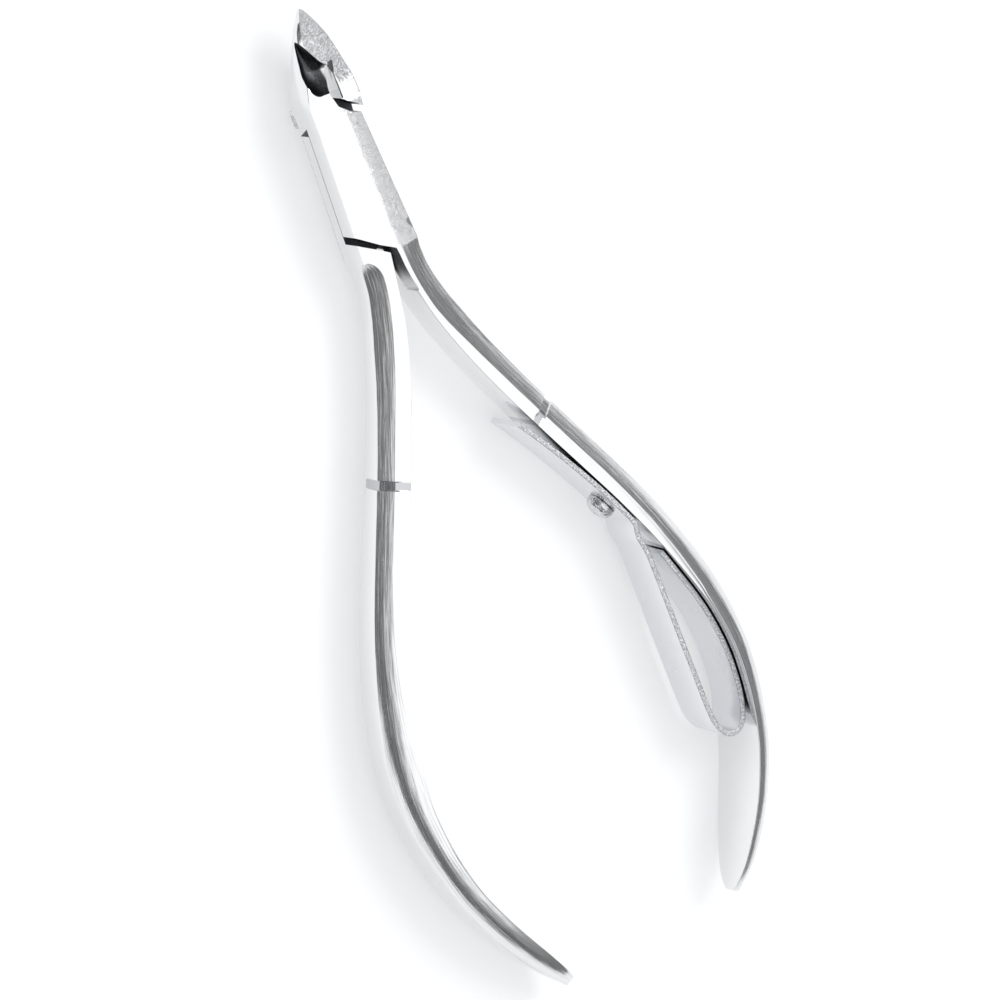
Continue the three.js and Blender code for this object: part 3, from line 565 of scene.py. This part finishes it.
head, head_along = head_rings(1)
lever_rear = carve(
    solid("rear", head, steel, head_along, 2.0),
    ("UNION", solid("handle", rings * (-1, 1, -1), steel, along)),
    *[("DIFFERENCE", prism(line, -BEYOND, seam)) for line in rear_ends],
    ("DIFFERENCE", prism(rear_front, -seam, BEYOND)),
    ("DIFFERENCE", turned([(2.17, -BEYOND), (2.17, -HALF_T + 0.25), (1.77, -HALF_T + 0.7), (1.77, 1)],
                          (0, 0, 0), (0, 0, 1), painted_shade_inside)),
)
settle(lever_rear, "rear_lever_body", "lever_rear")

# ---- pivot rivet --------------------------------------------------------------------------
# A plain steel rivet, fast in the rear plate. Its rear head is filed flush and just shows as a
# ring; in front it stops inside the plate, where the polishing has closed the metal over it.
rivet_steel = Graph("rivet_steel", Metallic=1.0, Base_Color=(0.78, 0.785, 0.79, 1))
where = rivet_steel.place()
filing = rivet_steel.noise(where, 3.0, 4.0, 0.6)
rivet_steel.into("Roughness", filing.ramp(0.3, 0.7, 0.18, 0.32))
rivet_steel.bump((filing, 0.01))
pin = turned([(0.02, -HALF_T), (1.9, -HALF_T), (2.1, -HALF_T + 0.06), (2.15, -HALF_T + 0.25),
              (1.75, -HALF_T + 0.7),
              (1.75, blind - 0.15), (1.6, blind - 0.05), (0.02, blind - 0.05)],
             (0, 0, 0), (0, 0, 1), rivet_steel.material)
settle(pin, "rear_lever_body", "pivot_rivet")

# ---- loop spring --------------------------------------------------------------------------
# A strip of spring steel bent into a long loop, holed and riveted to the right handle. Its faces are
# smooth, its sheared edges rough. The free leg lies along the inside of the grip.
spring_low, spring_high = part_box("loop_spring")
strip = Graph("spring_steel", Metallic=1.0)
where = strip.place()
uv = strip.node("ShaderNodeUVMap", {"uv_map": "run"})
u, v = strip.part(uv, 0), strip.part(uv, 1)
edge = abs(strip.node("ShaderNodeMath", {"operation": "FRACT"}, {0: v * 2.0}) - 0.5).ramp(0.3, 0.34, 1, 0)
brushed = strip.noise(strip.vector(u * 2.0, v * 40.0), 1.0, 3.0, 0.6)
sheared = strip.noise(where, 5.5, 4.0, 0.75)
strip.into("Roughness", brushed.ramp(0.3, 0.7, 0.2, 0.28) + edge * 0.2)
strip.into("Base Color", strip.blend(edge * sheared.ramp(0.36, 0.56), (0.8, 0.81, 0.83), (0.34, 0.345, 0.36)))
strip.bump((brushed, 0.002), (sheared * edge, 0.035))
SPRING_T, SPRING_BREADTH = 0.55, (spring_high.z - spring_low.z) / MM
# Distance down the handle and air under the strip, where the leaf and the free leg lie along
# it; between them the leg runs straight down and the bend turns it back, in plan.
LEAF = [(27.7, 1.05), (30, 0.72), (33, 0.42), (36, 0.22), (39, 0.12), (41.4, 0.1), (43, 0.16)]
LEG = [(13.42, -45.3), (13.7, -47.2), (13.75, -49.5), (13.74, -52.8), (13.72, -57.2), (13.72, -61.9),
       (13.73, -65.4), (13.98, -67.2), (14.72, -68.45), (15.78, -68.75), (16.75, -68.1), (17.27, -67)]
FREE = [(65.5, 0.16), (63, 0.14), (60, 0.14), (57, 0.14), (54, 0.14), (51, 0.14), (48.6, 0.14), (47.2, 0.14)]


def strip_rings():
    """The strip's section, eased at its four corners, carried along its bent line. Points on
    the handle are its centre line moved in by half its thickness, the air and half the strip."""
    centre = spline(CENTRE, 16)
    slope = np.gradient(centre, axis=0)
    slope /= np.linalg.norm(slope, axis=1, keepdims=True)

    def beside(pairs):
        """Points in plan that stand off the handle's inner face by the given air."""
        down, air = np.array(pairs, float).T
        rows = np.interp(down, -centre[:, 1], np.arange(len(centre)))
        x, y, tx, ty = (np.interp(rows, np.arange(len(centre)), column)
                        for column in (*centre.T, *slope.T))
        move = read(THICKNESS, down) / 2 + air + SPRING_T / 2
        return np.stack([x + ty * move, y - tx * move], 1)

    line = spline(np.vstack([beside(LEAF), LEG, beside(FREE)]), 12)
    tangent = np.gradient(line, axis=0)
    tangent /= np.linalg.norm(tangent, axis=1, keepdims=True)
    t, b = SPRING_T / 2, SPRING_BREADTH / 2
    section = rounded(np.array([(-t, -b), (t, -b), (t, b), (-t, b)]), np.full(4, 0.08), 5)
    rings = np.empty((len(line), len(section), 3))
    rings[..., 0] = line[:, :1] - tangent[:, 1:] * section[:, 0]
    rings[..., 1] = line[:, 1:] + tangent[:, :1] * section[:, 0]
    rings[..., 2] = section[:, 1]
    return rings, np.cumsum(np.r_[0, np.linalg.norm(np.diff(line, axis=0), axis=1)]) / 10


rings, along = strip_rings()
turn = joints["spring_turn"]
seat = (Vector(turn["pos_m"]) - pivot) / MM
facing = Vector(turn["axis"]).normalized()
loop = carve(
    solid("strip", rings, strip.material, along),
    ("DIFFERENCE", turned([(0.9, -0.5), (0.9, 1.2)], seat, facing, strip.material)),
)
settle(loop, "spring_body", "loop_spring", 35)

# ---- spring rivet -------------------------------------------------------------------------
# A small domed rivet through the leaf into the handle's inner face, its head a little dented
# by the hammer.
peened = Graph("peened_rivet", Metallic=1.0, Base_Color=(0.7, 0.705, 0.715, 1))
dents = peened.noise(peened.place(), 1.6, 3.0, 0.6)
peened.into("Roughness", dents.ramp(0.3, 0.7, 0.14, 0.3))
peened.bump((dents, 0.25))
dome = turned([(0.02, -1.8), (0.85, -1.8), (0.85, 0.7), (1.47, 0.72), (1.54, 0.82), (1.53, 1.05),
               (1.42, 1.35), (1.2, 1.62),
               (0.85, 1.8), (0.5, 1.84), (0.25, 1.78), (0.02, 1.75)], seat, facing, peened.material, 48)
settle(dome, "front_lever_body", "spring_rivet", 40)

# ---- studio -------------------------------------------------------------------------------
# A white lit sheet under the tool, a broad white ceiling and a dim room towards the horizon,
# darker on the jaws' left than on their right.
bpy.ops.mesh.primitive_plane_add(size=3.0)
floor = bpy.context.object
floor.name = "floor"
paper = Graph("paper", Base_Color=(0.55, 0.55, 0.55, 1), Roughness=0.7,
              Emission_Color=(0.97, 0.985, 1, 1), Emission_Strength=0.5)
floor.data.materials.append(paper.material)

world = bpy.data.worlds.new("studio")
scene.world = world
world.use_nodes = True
tree = world.node_tree
sky = tree.nodes["Background"]
coord = tree.nodes.new("ShaderNodeTexCoord")
split = tree.nodes.new("ShaderNodeSeparateXYZ")
tree.links.new(coord.outputs["Generated"], split.inputs[0])
rooms = []
for shades in (
        [(0.0, 0.035), (0.1, 0.03), (0.17, 0.2), (0.26, 0.035), (0.36, 0.11), (0.55, 0.2), (0.64, 0.11),
         (0.74, 0.8), (1, 0.9)],
        [(0.0, 0.11), (0.12, 0.115), (0.3, 0.18), (0.5, 0.14), (0.62, 0.34), (0.74, 0.8), (1, 0.9)]):
    ramp = tree.nodes.new("ShaderNodeValToRGB")
    stops = ramp.color_ramp.elements
    for index, (place, level) in enumerate(shades):
        stop = stops[index] if index < 2 else stops.new(place)
        stop.position, stop.color = place, (level, level * 1.005, level * 1.015, 1)
    tree.links.new(split.outputs["Z"], ramp.inputs[0])
    rooms.append(ramp)
mix = tree.nodes.new("ShaderNodeMix")
mix.data_type = "RGBA"
reach = tree.nodes.new("ShaderNodeMapRange")
reach.inputs[1].default_value, reach.inputs[2].default_value = -0.4, 0.4
tree.links.new(split.outputs["X"], reach.inputs[0])
tree.links.new(reach.outputs[0], mix.inputs[0])
tree.links.new(rooms[0].outputs[0], mix.inputs[6])
tree.links.new(rooms[1].outputs[0], mix.inputs[7])
tree.links.new(mix.outputs[2], sky.inputs["Color"])
sky.inputs["Strength"].default_value = 1.4

lamp_data = bpy.data.lights.new("key", "AREA")
lamp_data.energy, lamp_data.size = 1.5, 0.3
lamp = bpy.data.objects.new("key", lamp_data)
scene.collection.objects.link(lamp)
lamp.location = Vector((0.3, 0.18, 0.55))
lamp.rotation_euler = (-lamp.location).to_track_quat("-Z", "Y").to_euler()
scene.view_settings.view_transform = "Standard"
